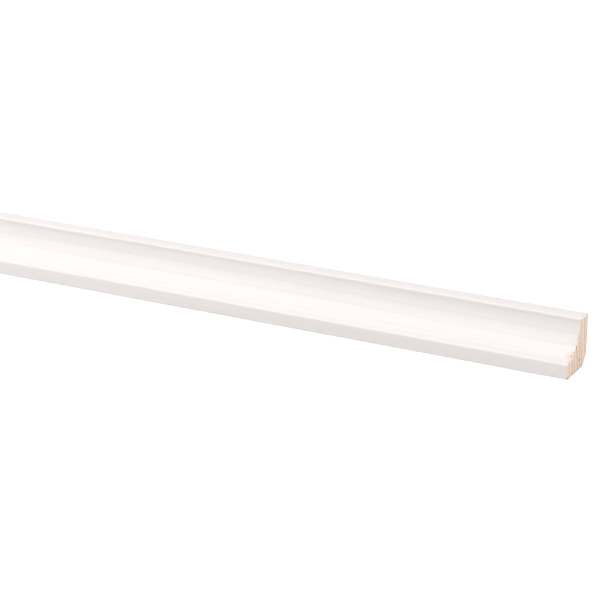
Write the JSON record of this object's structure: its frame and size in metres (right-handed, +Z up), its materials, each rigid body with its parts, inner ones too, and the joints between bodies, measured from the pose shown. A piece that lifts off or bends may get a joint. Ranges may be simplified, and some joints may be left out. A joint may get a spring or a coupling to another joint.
{
  "type": "cornice moulding",
  "caption": "Slim primed wood cove moulding, sold as a straight length, that covers the corner between a wall and a ceiling.",
  "frame": {"origin": "middle of the section's footprint on the floor, halfway along the length", "axes": "+X along the length, +Y out of the back face that goes on the wall, +Z up, with the ceiling leg's flat face at Z 0"},
  "size_m": [2.4, 0.027, 0.027],
  "materials": {
    "primed_pine": "factory-primed white pine, matt to low satin, with bare sawn end grain at both ends"
  },
  "bodies": {
    "root": {"cornice_moulding": "primed_pine"}
  },
  "joints": []
}
